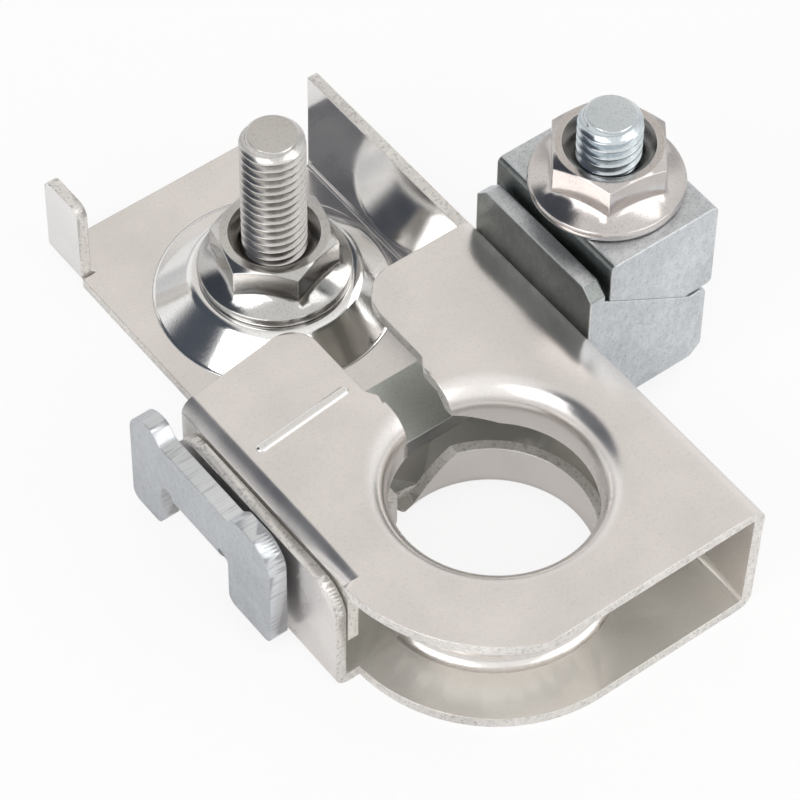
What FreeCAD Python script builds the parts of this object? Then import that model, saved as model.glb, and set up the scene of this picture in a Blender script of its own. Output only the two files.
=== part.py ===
"""Battery terminal clamp, millimetres, +Z up.

A folded steel clamp grips a tapered battery post between two split collars. A flat draw
strap crosses the folded box: its T-shaped head bears on the left flange, and a pair of
wedge blocks beside the right wall pulls its other end outward as the nut on the wedge
bolt goes down. A cable lug sits on the threaded stud behind, under a flange nut.

The clamp is one bent sheet, drawn as four solids that meet face to face: the top plate
with the right wall, the bottom plate, the stud plate behind them, and its dome.

The origin is on the axis of the post hole, half way up the folded box. Each piece is
drawn with the underside of the box at z = 0 and is lowered by half the box height.
"""
import FreeCAD, Part
import collections
import math
import os
import re

import Sketcher

V = FreeCAD.Vector

doc = FreeCAD.newDocument("BatteryTerminalClamp")
dims = doc.addObject("Spreadsheet::Sheet", "dims")

SIZES = (
    # the folded sheet
    ("sheet", 1.1, "thickness of the sheet"),
    ("box_height", 14.4, "outer height of the folded box"),
    ("fold_inner", 0.35, "inner radius of the folds"),
    ("fold_seam", 0.2, "how far a fold's section runs into its plate"),
    ("box_right", 16.4, "outer face of the right wall"),
    ("box_left", 16.95, "outer face of the inner left flange"),
    ("flange_gap", 0.2, "between the two left flanges"),
    # the post hole
    ("post_radius", 9.3, "bore of both collars"),
    ("collar_wall", 1.0, "drawn wall of the collars"),
    ("collar_round", 2.6, "rounding where a collar leaves its plate"),
    ("collar_bevel", 1.1, "inside of that bend, cut straight across"),
    ("top_collar_depth", 4.5, "from the top of the box to the collar's edge"),
    ("low_collar_height", 6.2, "from the underside to the collar's edge"),
    ("collar_seam", 0.5, "how far the drawn section runs into the plate"),
    ("collar_taper", 2.9, "where the lower collar starts to run out at the slit"),
    ("top_taper_run", 3.9, "length over which the top collar runs out at the gap"),
    ("top_taper_rise", 2.0, "how far the top collar's edge rises there"),
    # the top plate
    ("arc_x", 0.5, "centre of the front arcs, left of the hole"),
    ("arc_y", 0.85, "centre of the front arcs, in front of the hole"),
    ("top_arc", 17.0, "front arc of the top plate"),
    ("top_front", 16.5, "front edge of the top plate"),
    ("lobe_back", 24.3, "back edge of the right lobe"),
    ("left_lobe_back", 22.7, "back end of the left fold"),
    ("left_lobe_rise", 1.4, "how far the left lobe's back edge runs out towards the gap"),
    ("gap_x", 0.25, "middle of the gap, left of the hole"),
    ("gap_neck", 4.9, "gap beside the hole"),
    ("gap_mouth", 6.4, "gap between the lobes"),
    ("gap_step", 14.2, "where the gap widens"),
    ("gap_run", 1.2, "length over which the gap widens"),
    ("gap_round", 1.2, "soft turns of the gap's edge"),
    ("left_lobe_round", 2.6, "corner of the left lobe"),
    ("right_lobe_round", 4.0, "corner of the right lobe"),
    # the bottom plate
    ("low_arc", 15.2, "front arc of the bottom plate"),
    ("plate_rest", 5.25, "stud plate behind the dome"),
    ("plate_left", 10.0, "left edge of the stud plate"),
    ("strip_right", 11.0, "right edge of the left strip"),
    ("slit_turn", 17.8, "where the slit turns to the hole"),
    ("slit_width", 1.8, "slit beside the hole"),
    ("slit_x", 2.4, "slit at the hole, left of the axis"),
    # walls and flanges
    ("wall_back", 47.9, "back end of the right wall"),
    ("wall_rise", 0.25, "rear wall, above the start of the top's inner fold"),
    ("flange_front", 1.5, "front end of the left flanges, before the hole axis"),
    ("outer_flange_back", 21.7, "back end of the outer flange"),
    ("outer_flange_drop", 0.4, "top of the outer flange, below the top plate"),
    ("outer_flange_round", 3.0, "top corners of the outer flange"),
    ("inner_flange_low", 6.0, "lower edge of the inner flange"),
    ("tab_length", 5.3, "locating tab at the back of the stud plate"),
    ("tab_over", 0.7, "how far the tab stands out behind the plate"),
    ("tab_top", 10.2, "top of the locating tab"),
    ("tab_round", 1.1, "top corners of the tab"),
    ("relief", 0.25, "relief slot beside the tab"),
    # the dome under the stud nut
    ("dome_front", 1.55, "from the lobes to the foot of the dome"),
    ("dome_base", 11.25, "foot of the dome"),
    ("dome_top", 7.8, "shoulder of the dome"),
    ("dome_height", 4.15, "top of the dome above the underside"),
    ("dome_seam", 0.1, "how far the dome's section runs into the plate"),
    ("dome_top_round", 1.8, "rounding at the shoulder"),
    ("dome_wall", 0.3, "how much smaller the dome's inner cone is"),
    # threaded pieces
    ("stud_radius", 3.05, "outside of the stud's thread"),
    ("bolt_radius", 2.95, "outside of the wedge bolt's thread"),
    ("thread_fit", 0.05, "between a nut's bore and its thread"),
    ("thread_chamfer", 0.8, "chamfer at the threaded ends"),
    ("stud_over", 13.25, "stud above its nut"),
    ("stud_head_radius", 5.8, "head of the stud"),
    ("stud_head_height", 2.2, "head of the stud"),
    ("stud_flats", 10.4, "across the flats of the stud nut"),
    ("stud_flange", 7.25, "radius of the stud nut's flange"),
    ("wedge_flats", 10.0, "across the flats of the wedge nut"),
    ("wedge_flange", 7.1, "radius of the wedge nut's flange"),
    ("flange_rim", 1.1, "upright rim of the flange"),
    ("flange_edge", 0.25, "broken edges of the rim"),
    ("flange_rise", 2.7, "where the flange meets the flats"),
    ("stud_nut_height", 5.3, "stud nut"),
    ("wedge_nut_height", 5.4, "wedge nut"),
    ("nut_chamfer", 0.7, "chamfer of the hexagon's corners"),
    ("nut_sink", 1.2, "countersink of the nuts"),
    # the draw strap
    ("strap_y", 15.7, "middle of the strap, behind the hole"),
    ("strap_width", 6.9, "strap"),
    ("strap_thick", 1.8, "strap and head"),
    ("strap_low", 4.7, "underside of the strap"),
    ("strap_bend", 1.2, "inner radius of the strap's bend"),
    ("head_gap", 0.75, "between the head and the outer flange"),
    ("head_front", 11.2, "front edge of the head, before the strap's middle"),
    ("head_back", 9.5, "back edge of the head, behind the strap's middle"),
    ("head_top", 14.2, "top of the head's ends"),
    ("head_dip", 1.1, "how far the head's top dips in the middle"),
    ("ear_front", 2.3, "level top between the dip and the front corner's round"),
    ("ear_back", 0.6, "level top between the dip and the back corner's round"),
    ("head_low", 1.8, "lower end of the head's legs"),
    ("notch_width", 10.0, "between the legs"),
    ("notch_rise", 0.1, "top of the notch, above the bend"),
    ("leg_round", 1.0, "corners of the legs and of the notch"),
    ("dip_round", 0.6, "soft turns beside the dip"),
    ("head_round", 2.8, "outer corners of the head"),
    ("eye_width", 10.0, "eye round the wedge bolt"),
    ("eye_lead", 3.4, "where the strap starts to widen, before the face of the right wall"),
    ("eye_run", 2.0, "length over which it widens"),
    ("strap_clear", 0.3, "beside and under the strap in its windows and slot"),
    ("window_rise", 0.9, "over the strap in the windows"),
    # the wedge bolt
    ("bolt_out", 6.5, "axis of the wedge bolt, beyond the lip"),
    ("bolt_over", 3.7, "wedge bolt above its nut"),
    ("neck", 6.0, "square neck of the bolt"),
    ("neck_clear", 0.1, "round the square neck"),
    ("bolt_head_radius", 4.6, "head of the wedge bolt"),
    ("bolt_head_height", 2.3, "head of the wedge bolt"),
    ("bolt_clear", 0.25, "round the bolt in the blocks"),
    ("draw_travel", 0.6, "free length of the bolt's slot, each way"),
    # the wedge blocks
    ("block_low", 1.9, "underside of the lower block"),
    ("block_wall", 1.8, "lower block, beyond the bolt's slot"),
    ("block_width", 16.2, "lower block"),
    ("lip", 1.6, "upright lip of the lower block"),
    ("lip_rise", 1.95, "top of the lip, above the ramp"),
    ("lip_chamfer", 1.2, "ends of the lip"),
    ("ramp_angle", 33.1, "slope of the ramp"),
    ("ramp_wall", 4.0, "between the strap's slot and the foot of the ramp"),
    ("ramp_foot", 1.9, "level foot between the ramp and the right face"),
    ("block_chamfer", 1.2, "lower right edge of the lower block"),
    ("ramp_clear", 0.05, "between the two ramps, upright"),
    ("lip_clear", 0.6, "between the lip and the upper block"),
    ("wedge_over", 0.6, "right face of the upper block, beyond the lower one's"),
    ("wedge_width", 16.2, "upper block"),
    ("wedge_rise", 4.05, "top of the upper block, above the top of the ramp"),
    ("foot_clear", 0.5, "between the blocks past the ramp"),
    ("block_round", 0.6, "edges of the blocks"),
    # every cut
    ("cut_margin", 1.0, "how far a cut runs past the face it opens"),
)

for row, (alias, size, note) in enumerate(SIZES, 1):
    dims.set("A%d" % row, note)
    dims.set("B%d" % row, str(size))
    dims.setAlias("B%d" % row, alias)
doc.recompute()

ALIASES = {alias for alias, size, note in SIZES}
FOLD_OUTER = "(fold_inner + sheet)"
FLANGE_OUTER_FACE = "(box_left + flange_gap + sheet)"
HEAD_INNER_FACE = "(box_left + flange_gap + sheet + head_gap)"
HEAD_OUTER_FACE = "(box_left + flange_gap + sheet + head_gap + strap_thick)"
STRAP_TOP = "(strap_low + strap_thick)"
FOLD_LINE = "(box_right - fold_inner - sheet - fold_seam)"
DOME_RIM = "(dome_base + dome_seam)"
STUD_X = "(box_right - " + FOLD_OUTER + " - " + DOME_RIM + ")"
STUD_Y = "(lobe_back + dome_front + " + DOME_RIM + ")"
STUD_TOP = "(dome_height + stud_nut_height + stud_over)"
BOLT_HOLE = "(bolt_radius + bolt_clear)"
BOLT_X = "(box_right + lip + bolt_out)"
BLOCK_RIGHT = "(" + BOLT_X + " + " + BOLT_HOLE + " + draw_travel + block_wall)"
RAMP_RUN = "(" + BLOCK_RIGHT + " - ramp_foot - box_right - lip)"
RAMP_END = "(" + STRAP_TOP + " + strap_clear + ramp_wall)"
RAMP_START = "(" + RAMP_END + " + " + RAMP_RUN + " * tan(ramp_angle))"
WEDGE_TOP = "(" + RAMP_START + " + wedge_rise)"
BOLT_TOP = "(" + WEDGE_TOP + " + wedge_nut_height + bolt_over)"

Corner = collections.namedtuple("Corner", "x y fillet bulge", defaults=(None, None))


def tied(text):
    """The expression with every alias read from the sheet."""
    return re.sub(r"[a-z_]+", lambda word: "dims." + word[0] if word[0] in ALIASES else word[0], text)


def value(text):
    """The number that an expression gives."""
    return float(dims.evalExpression(text))


def new_body(label):
    """An empty body that stands with the underside of the box at z = 0."""
    body = doc.addObject("PartDesign::Body", label)
    body.Label = label
    body.setExpression("Placement.Base.z", tied("-box_height / 2"))
    return body


def new_sketch(body, name, role, shift):
    """An empty sketch on one of the body's origin planes, moved by three expressions."""
    sketch = body.newObject("Sketcher::SketchObject", name)
    plane = [feature for feature in body.Origin.OriginFeatures if feature.Role == role][0]
    sketch.AttachmentSupport = (plane, [""])
    sketch.MapMode = "FlatFace"
    for axis, text in zip("xyz", shift):
        sketch.setExpression("AttachmentOffset.Base." + axis, tied(text))
    return sketch


def fix(sketch, kind, arguments, text, name):
    """A dimension of the sketch, bound to an expression."""
    index = sketch.addConstraint(Sketcher.Constraint(kind, *arguments, value(text)))
    sketch.renameConstraint(index, name)
    sketch.setExpression("Constraints." + name, tied(text))


def arc_between(first, last, radius, centre_on_left):
    """Centre of the arc of this radius from first to last."""
    middle = (first + last) * 0.5
    chord = last - first
    height = math.sqrt(max(radius * radius - chord.Length * chord.Length / 4, 0))
    side = V(-chord.y, chord.x, 0).normalize() * height
    return middle + side if centre_on_left else middle - side


def round_corner(before, here, after, radius):
    """Where a fillet of this radius leaves both sides of a corner, and its centre."""
    back = (before - here).normalize()
    ahead = (after - here).normalize()
    half = math.acos(max(-1, min(1, back.dot(ahead)))) / 2
    reach = radius / math.tan(half)
    middle = (back + ahead).normalize() * (radius / math.sin(half))
    return here + back * reach, here + ahead * reach, here + middle


def add_arc(sketch, centre, radius, first, last, counterclockwise):
    """Adds an arc from first to last and returns its number and those ends' numbers."""
    start, end = (first, last) if counterclockwise else (last, first)
    low = math.atan2(start.y - centre.y, start.x - centre.x)
    high = math.atan2(end.y - centre.y, end.x - centre.x)
    if high <= low:
        high += 2 * math.pi
    circle = Part.Circle(centre, V(0, 0, 1), radius)
    number = sketch.addGeometry(Part.ArcOfCircle(circle, low, high))
    return (number, 1, 2) if counterclockwise else (number, 2, 1)


def outline(body, name, role, corners, shift=("0", "0", "0")):
    """A closed sketch through the corners, given counterclockwise, each place an expression."""
    sketch = new_sketch(body, name, role, shift)
    corners = [corner if isinstance(corner, Corner) else Corner(*corner) for corner in corners]
    places = [V(value(corner.x), value(corner.y), 0) for corner in corners]
    count = len(corners)
    marks = []
    for index, (corner, place) in enumerate(zip(corners, places)):
        mark = sketch.addGeometry(Part.Point(place), True)
        fix(sketch, "DistanceX", (-1, 1, mark, 1), corner.x, "x%d" % index)
        fix(sketch, "DistanceY", (-1, 1, mark, 1), corner.y, "y%d" % index)
        marks.append(mark)
    rounds = {}
    for index, corner in enumerate(corners):
        if corner.fillet:
            before, after = places[index - 1], places[(index + 1) % count]
            radius = value(corner.fillet)
            rounds[index] = round_corner(before, places[index], after, radius) + (radius,)
    sides = []
    for index, corner in enumerate(corners):
        following = (index + 1) % count
        start = rounds[index][1] if index in rounds else places[index]
        end = rounds[following][0] if following in rounds else places[following]
        if corner.bulge:
            radius = value(corner.bulge)
            centre = arc_between(start, end, radius, True)
            side = add_arc(sketch, centre, radius, start, end, True)
            fix(sketch, "Radius", (side[0],), corner.bulge, "bulge%d" % index)
        else:
            side = (sketch.addGeometry(Part.LineSegment(start, end)), 1, 2)
        sides.append(side)
    for index in range(count):
        number, first, last = sides[index]
        earlier, _, earlier_last = sides[index - 1]
        if index not in rounds:
            sketch.addConstraint(Sketcher.Constraint("Coincident", number, first, marks[index], 1))
            sketch.addConstraint(Sketcher.Constraint("Coincident", earlier, earlier_last, marks[index], 1))
            continue
        entry, leave, centre, radius = rounds[index]
        turn = (entry - centre).cross(leave - centre).z
        arc, arc_first, arc_last = add_arc(sketch, centre, radius, entry, leave, turn > 0)
        sketch.addConstraint(Sketcher.Constraint("PointOnObject", marks[index], 1, number))
        sketch.addConstraint(Sketcher.Constraint("PointOnObject", marks[index], 1, earlier))
        sketch.addConstraint(Sketcher.Constraint("Tangent", earlier, earlier_last, arc, arc_first))
        sketch.addConstraint(Sketcher.Constraint("Tangent", number, first, arc, arc_last))
        fix(sketch, "Radius", (arc,), corners[index].fillet, "round%d" % index)
    return sketch


def ring(body, name, role, x, y, radius, shift=("0", "0", "0")):
    """A sketch of one circle."""
    sketch = new_sketch(body, name, role, shift)
    circle = sketch.addGeometry(Part.Circle(V(value(x), value(y), 0), V(0, 0, 1), value(radius)))
    fix(sketch, "DistanceX", (-1, 1, circle, 3), x, "centre_x")
    fix(sketch, "DistanceY", (-1, 1, circle, 3), y, "centre_y")
    fix(sketch, "Radius", (circle,), radius, "radius")
    return sketch


def pad(body, name, sketch, length, middle=False, down=False):
    """Adds the sketch's area, made this long."""
    feature = body.newObject("PartDesign::Pad", name)
    feature.Profile = sketch
    feature.Midplane = middle
    feature.Reversed = down
    feature.setExpression("Length", tied(length))
    doc.recompute()
    return feature


def pocket(body, name, sketch, length, up=False):
    """Takes the sketch's area away, this deep, and stops if nothing was cut."""
    before = body.Shape.Volume
    feature = body.newObject("PartDesign::Pocket", name)
    feature.Profile = sketch
    feature.Reversed = up
    feature.setExpression("Length", tied(length))
    doc.recompute()
    if not body.Shape.Volume < before:
        raise RuntimeError(name + " cut nothing")
    return feature


def turned(body, name, sketch, kind="PartDesign::Revolution"):
    """Turns the sketch once round its own upright axis."""
    feature = body.newObject(kind, name)
    feature.Profile = sketch
    feature.ReferenceAxis = (sketch, ["V_Axis"])
    feature.Angle = 360
    doc.recompute()
    return feature


def edge_names(shape, tests):
    """The names of the edges whose two ends both pass one of the tests."""
    names = []
    for number, edge in enumerate(shape.Edges, 1):
        ends = [vertex.Point for vertex in edge.Vertexes]
        if len(ends) == 2 and any(all(test(end) for end in ends) for test in tests):
            names.append("Edge%d" % number)
    return names


def dress(body, name, kind, size, tests):
    """Rounds or chamfers the edges that pass one of the tests."""
    base = body.Tip
    names = edge_names(base.Shape, tests)
    if not names:
        raise RuntimeError(name + " found no edge")
    feature = body.newObject("PartDesign::" + kind, name)
    feature.Base = (base, names)
    feature.setExpression("Radius" if kind == "Fillet" else "Size", tied(size))
    doc.recompute()
    return feature


def at(**places):
    """A test that a point has these coordinates."""
    wanted = {key: value(text) for key, text in places.items()}
    return lambda point: all(abs(getattr(point, key) - wanted[key]) < 0.01 for key in wanted)


def rectangle(left, front, right, back):
    """The four corners of a rectangle, counterclockwise."""
    return [(left, front), (right, front), (right, back), (left, back)]


def carry_to(body, x, y, z):
    """Places a body that is drawn round its own axis."""
    for axis, text in (("x", x), ("y", y), ("z", z + " - box_height / 2")):
        body.setExpression("Placement.Base." + axis, tied(text))


def full_round(width):
    """The corner radius that makes an end of this width very nearly a half circle."""
    return "(%s) * 0.49" % width


# The clamp: one stamped, drawn and folded sheet

LOW_FRONT = "(arc_y + low_arc)"
REAR_TOP = "(box_height - sheet - fold_inner + wall_rise)"
COLLAR_SEAM = "(post_radius + collar_round + collar_seam)"
PLATE_BACK = "(" + STUD_Y + " + " + DOME_RIM + " + plate_rest)"
TAB_BACK = "(" + PLATE_BACK + " + tab_over)"
TAB_FRONT = "(" + TAB_BACK + " - tab_length)"
OUTER_FLANGE_TOP = "(box_height - sheet - outer_flange_drop)"
BOTTOM_FOLD = "(-box_left - flange_gap + fold_inner)"


def arc_x_at(arc, front):
    """Where a front arc comes this far in front of the hole axis, on the left."""
    return "-arc_x - sqrt(%s^2 - (%s - arc_y)^2)" % (arc, front)


def open_post_hole(body, top):
    """Cuts the plate away where a collar is drawn from it."""
    hole = ring(body, "post_hole", "XY_Plane", "0", "0", "post_radius + collar_round", ("0", "0", top))
    pocket(body, "post_hole_cut", hole, "sheet")


def open_windows(body, name, face, depth):
    """The opening that the draw strap passes through, cut to the right from a face."""
    half = "(eye_width / 2 + strap_clear)"
    edges = rectangle("strap_y - " + half, "strap_low - strap_clear",
                      "strap_y + " + half, STRAP_TOP + " + window_rise")
    window = outline(body, name, "YZ_Plane", edges, ("0", "0", face))
    pocket(body, name + "_cut", window, depth, up=True)


def fold_up(body, name, face, top, front, back, rounding):
    """A flange folded up from a bottom plate's left edge, its top corners rounded."""
    section = outline(body, name, "XZ_Plane", [
        ("-" + face, "0", FOLD_OUTER),
        ("-" + face + " + " + FOLD_OUTER + " + fold_seam", "0"),
        ("-" + face + " + " + FOLD_OUTER + " + fold_seam", "sheet"),
        ("-" + face + " + sheet", "sheet", "fold_inner"),
        ("-" + face + " + sheet", top),
        ("-" + face, top),
    ], ("0", "0", "-(" + front + ")"))
    pad(body, name + "_pad", section, back + " - (" + front + ")", down=True)
    dress(body, name + "_corners", "Fillet", rounding, [at(y=front, z=top), at(y=back, z=top)])


def clamp_top():
    """The top plate with its two lobes and its collar, the right wall and the inner flange."""
    body = new_body("clamp_top")
    top = outline(body, "top_plate", "XY_Plane", [
        ("box_right - " + FOLD_OUTER, "-top_front"),
        ("box_right - " + FOLD_OUTER, "lobe_back"),
        ("-gap_x + gap_mouth / 2", "lobe_back", "right_lobe_round"),
        ("-gap_x + gap_mouth / 2", "gap_step", "gap_round"),
        ("-gap_x + gap_neck / 2", "gap_step - gap_run", "gap_round"),
        ("-gap_x + gap_neck / 2", "0"),
        ("-gap_x - gap_neck / 2", "0"),
        ("-gap_x - gap_neck / 2", "gap_step - gap_run", "gap_round"),
        ("-gap_x - gap_mouth / 2", "gap_step", "gap_round"),
        ("-gap_x - gap_mouth / 2", "left_lobe_back + left_lobe_rise", "left_lobe_round"),
        ("-box_left + " + FOLD_OUTER, "left_lobe_back"),
        ("-box_left + " + FOLD_OUTER, "-flange_front"),
        Corner(arc_x_at("top_arc", "flange_front"), "-flange_front", None, "top_arc"),
        (arc_x_at("top_arc", "top_front"), "-top_front"),
    ], ("0", "0", "box_height - sheet"))
    pad(body, "top_plate_pad", top, "sheet")
    wall = outline(body, "right_wall", "XZ_Plane", [
        (FOLD_LINE, "0"),
        ("box_right", "0", FOLD_OUTER),
        ("box_right", "box_height", FOLD_OUTER),
        (FOLD_LINE, "box_height"),
        (FOLD_LINE, "box_height - sheet"),
        ("box_right - sheet", "box_height - sheet", "fold_inner"),
        ("box_right - sheet", "sheet", "fold_inner"),
        (FOLD_LINE, "sheet"),
    ], ("0", "0", "top_front"))
    pad(body, "right_wall_pad", wall, "top_front + lobe_back", down=True)
    slant = outline(body, "front_slant", "YZ_Plane", [
        ("-top_front - sheet", "-sheet"),
        ("-" + LOW_FRONT, "-sheet"),
        ("-" + LOW_FRONT, FOLD_OUTER),
        ("-top_front", "box_height - " + FOLD_OUTER),
        ("-top_front - sheet", "box_height - " + FOLD_OUTER),
    ], ("0", "0", "box_right + sheet"))
    pocket(body, "front_slant_cut", slant, "3 * sheet + fold_inner + fold_seam")
    inner = outline(body, "inner_flange", "XZ_Plane", [
        ("-box_left", "inner_flange_low"),
        ("-box_left + sheet", "inner_flange_low"),
        ("-box_left + sheet", "box_height - sheet", "fold_inner"),
        ("-box_left + " + FOLD_OUTER + " + fold_seam", "box_height - sheet"),
        ("-box_left + " + FOLD_OUTER + " + fold_seam", "box_height"),
        ("-box_left", "box_height", FOLD_OUTER),
    ], ("0", "0", "flange_front"))
    pad(body, "inner_flange_pad", inner, "flange_front + left_lobe_back", down=True)
    open_post_hole(body, "box_height")
    collar = outline(body, "top_collar", "XZ_Plane", [
        ("post_radius", "box_height - top_collar_depth"),
        ("post_radius + collar_wall", "box_height - top_collar_depth"),
        ("post_radius + collar_wall", "box_height - sheet - collar_bevel"),
        ("post_radius + collar_wall + collar_bevel", "box_height - sheet"),
        (COLLAR_SEAM, "box_height - sheet"),
        (COLLAR_SEAM, "box_height"),
        ("post_radius", "box_height", "collar_round"),
    ])
    turned(body, "top_collar_turn", collar)
    gap = outline(body, "top_split", "XY_Plane",
                  rectangle("-gap_x - gap_neck / 2", "0", "-gap_x + gap_neck / 2", COLLAR_SEAM),
                  ("0", "0", "box_height"))
    pocket(body, "top_split_cut", gap, "top_collar_depth")
    gap_side = "-gap_x + gap_neck / 2"
    edge = "box_height - top_collar_depth"
    taper = outline(body, "top_taper", "XZ_Plane", [
        (gap_side, edge),
        (gap_side + " + top_taper_run", edge),
        (gap_side, edge + " + top_taper_rise"),
    ], ("0", "0", "-post_radius / 2"))
    pocket(body, "top_taper_cut", taper, "post_radius")
    open_windows(body, "left_window", "-box_left - sheet", "3 * sheet")
    open_windows(body, "right_window", "box_right - 2 * sheet", "3 * sheet")


def clamp_bottom():
    """The bottom plate with its collar, the left strip and the outer flange."""
    body = new_body("clamp_bottom")
    low = outline(body, "bottom_plate", "XY_Plane", [
        (FOLD_LINE, "-" + LOW_FRONT),
        (FOLD_LINE, "lobe_back"),
        ("-plate_left", "lobe_back"),
        ("-plate_left", "outer_flange_back"),
        (BOTTOM_FOLD, "outer_flange_back"),
        (BOTTOM_FOLD, "-flange_front"),
        Corner(arc_x_at("low_arc", "flange_front"), "-flange_front", None, "low_arc"),
        ("-arc_x", "-" + LOW_FRONT),
    ])
    pad(body, "bottom_plate_pad", low, "sheet")
    fold_up(body, "outer_flange", FLANGE_OUTER_FACE, OUTER_FLANGE_TOP,
            "-flange_front", "outer_flange_back", "outer_flange_round")
    open_post_hole(body, "sheet")
    collar = outline(body, "low_collar", "XZ_Plane", [
        ("post_radius", "0", "collar_round"),
        (COLLAR_SEAM, "0"),
        (COLLAR_SEAM, "sheet"),
        ("post_radius + collar_wall + collar_bevel", "sheet"),
        ("post_radius + collar_wall", "sheet + collar_bevel"),
        ("post_radius + collar_wall", "low_collar_height"),
        ("post_radius", "low_collar_height"),
    ])
    turned(body, "low_collar_turn", collar)
    slit = outline(body, "slit", "XY_Plane", [
        ("-slit_x - slit_width", "post_radius / 2"),
        ("-slit_x", "post_radius / 2"),
        ("-slit_x", "post_radius + collar_round"),
        ("-plate_left", "slit_turn"),
        ("-plate_left", "outer_flange_back + cut_margin"),
        ("-strip_right", "outer_flange_back + cut_margin"),
        ("-strip_right", "slit_turn"),
        ("-slit_x - slit_width", "post_radius + collar_round"),
    ], ("0", "0", "low_collar_height"))
    pocket(body, "slit_cut", slit, "low_collar_height")
    taper = outline(body, "collar_taper", "XZ_Plane", [
        ("-slit_x", "sheet"),
        ("collar_taper", "low_collar_height"),
        ("-slit_x", "low_collar_height"),
    ], ("0", "0", "-post_radius / 2"))
    pocket(body, "collar_taper_cut", taper, "post_radius")
    open_windows(body, "outer_window", "-" + FLANGE_OUTER_FACE + " - sheet", "3 * sheet")


def stud_plate():
    """The bottom plate under the stud, with the rear wall and the tab."""
    body = new_body("stud_plate")
    plate = outline(body, "rear_plate", "XY_Plane", [
        ("box_right - " + FOLD_OUTER, "lobe_back"),
        ("box_right - " + FOLD_OUTER, PLATE_BACK, "gap_round"),
        ("-plate_left + " + FOLD_OUTER, PLATE_BACK),
        ("-plate_left + " + FOLD_OUTER, TAB_FRONT + " - relief"),
        ("-plate_left", TAB_FRONT + " - relief"),
        ("-plate_left", "lobe_back"),
    ])
    pad(body, "rear_plate_pad", plate, "sheet")
    rear = outline(body, "rear_wall", "XZ_Plane", [
        (FOLD_LINE, "0"),
        ("box_right", "0", FOLD_OUTER),
        ("box_right", REAR_TOP),
        ("box_right - sheet", REAR_TOP),
        ("box_right - sheet", "sheet", "fold_inner"),
        (FOLD_LINE, "sheet"),
    ], ("0", "0", "-lobe_back"))
    pad(body, "rear_wall_pad", rear, "wall_back - lobe_back", down=True)
    fold_up(body, "tab", "plate_left", "tab_top", TAB_FRONT, TAB_BACK, "tab_round")
    hole = ring(body, "dome_opening", "XY_Plane", STUD_X, STUD_Y, DOME_RIM, ("0", "0", "sheet"))
    pocket(body, "dome_opening_cut", hole, "sheet")


def stud_dome():
    """The hollow dome that carries the stud."""
    body = new_body("stud_dome")
    carry_to(body, STUD_X, STUD_Y, "0")
    hole = "stud_radius + thread_fit"
    section = outline(body, "dome", "XZ_Plane", [
        (hole, "dome_height - sheet"),
        ("dome_top - dome_wall", "dome_height - sheet"),
        ("dome_base - dome_wall", "0"),
        (DOME_RIM, "0"),
        (DOME_RIM, "sheet"),
        ("dome_base", "sheet"),
        ("dome_top", "dome_height", "dome_top_round"),
        (hole, "dome_height"),
    ])
    turned(body, "dome_turn", section)


# The threaded pieces

def stud():
    """The stud, its head under the top of the dome."""
    body = new_body("stud")
    carry_to(body, STUD_X, STUD_Y, "0")
    under = "dome_height - sheet"
    head_low = under + " - stud_head_height"
    section = outline(body, "stud_section", "XZ_Plane", [
        ("0", head_low),
        ("stud_head_radius - thread_chamfer", head_low),
        ("stud_head_radius", head_low + " + thread_chamfer"),
        ("stud_head_radius", under),
        ("stud_radius", under),
        ("stud_radius", STUD_TOP + " - thread_chamfer"),
        ("stud_radius - thread_chamfer", STUD_TOP),
        ("0", STUD_TOP),
    ])
    turned(body, "stud_turn", section)


def wedge_bolt():
    """The bolt that hangs in the strap's eye by its head and square neck."""
    body = new_body("wedge_bolt")
    carry_to(body, BOLT_X, "strap_y", "0")
    head_low = "strap_low - bolt_head_height"
    section = outline(body, "bolt_section", "XZ_Plane", [
        ("0", head_low),
        ("bolt_head_radius - thread_chamfer", head_low),
        ("bolt_head_radius", head_low + " + thread_chamfer"),
        ("bolt_head_radius", "strap_low"),
        ("bolt_radius", "strap_low"),
        ("bolt_radius", BOLT_TOP + " - thread_chamfer"),
        ("bolt_radius - thread_chamfer", BOLT_TOP),
        ("0", BOLT_TOP),
    ])
    turned(body, "bolt_turn", section)
    square = outline(body, "neck_square", "XY_Plane",
                     rectangle("-neck / 2", "-neck / 2", "neck / 2", "neck / 2"),
                     ("0", "0", "strap_low"))
    pad(body, "neck_pad", square, "strap_thick")


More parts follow.
